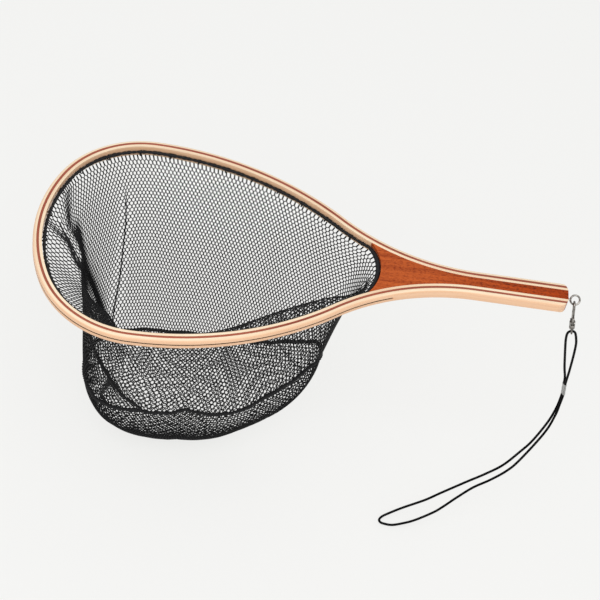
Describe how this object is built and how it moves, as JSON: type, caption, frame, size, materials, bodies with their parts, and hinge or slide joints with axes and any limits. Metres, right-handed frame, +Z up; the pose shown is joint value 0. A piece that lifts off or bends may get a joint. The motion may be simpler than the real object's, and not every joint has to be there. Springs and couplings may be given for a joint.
{
  "type": "hand landing net",
  "caption": "Hand landing net with a laminated bent-wood hoop and handle, a deep laced netting bag, and a wrist lanyard on a swivel snap clasp at the butt.",
  "frame": {"origin": "middle of the straight grip, at mid thickness of the wood", "axes": "+X along the handle to the butt, +Y across the hoop, +Z up out of the bag's mouth"},
  "size_m": [0.648, 0.287, 0.3451],
  "materials": {
    "pale_wood": "clear gloss varnish over straight pale grain",
    "red_wood": "clear gloss varnish over red-brown grain",
    "core_wood": "clear gloss varnish over orange-brown grain",
    "black_cord": "tight black cord",
    "netting": "black knitted netting",
    "bright_steel": "bright wire",
    "nickel": "worn nickel plate",
    "crimp": "crimped sleeve"
  },
  "bodies": {
    "frame": {"handle_core": "core_wood", "inner_strip": "pale_wood", "middle_strip": "red_wood", "outer_strip": "pale_wood", "lacing_cord": "black_cord", "lacing_stitches": "black_cord", "head_rope": "black_cord", "bag_side_netting": "netting", "bag_bottom_netting": "netting", "bag_bottom_seam": "black_cord", "bag_side_seam": "black_cord", "screw_eye": "bright_steel"},
    "clasp": {"clasp_hook": "nickel", "gate_pin": "bright_steel", "gate_spring": "bright_steel"},
    "gate": {"clasp_gate": "nickel"},
    "swivel": {"swivel_eye": "nickel", "lanyard_small_loop": "black_cord", "lanyard_ferrule": "crimp", "lanyard_wrist_loop": "black_cord"}
  },
  "joints": [
    {"name": "clasp_swing", "type": "hinge", "parent": "frame", "child": "clasp", "pos_m": [0.0625, -0.00382, -0.00382], "axis": [1, 0, 0], "range_deg": [-60, 60]},
    {"name": "gate_open", "type": "hinge", "parent": "clasp", "child": "gate", "pos_m": [0.06793, -0.00782, -0.03312], "axis": [-0.9833, 0, -0.1822], "range_deg": [0, 12], "stiffness_Nm_per_rad": 0.02, "springref_deg": -4.01},
    {"name": "swivel_turn", "type": "hinge", "parent": "clasp", "child": "swivel", "pos_m": [0.06997, -0.00382, -0.04413], "axis": [-0.1822, 0, 0.9833], "continuous": true}
  ]
}
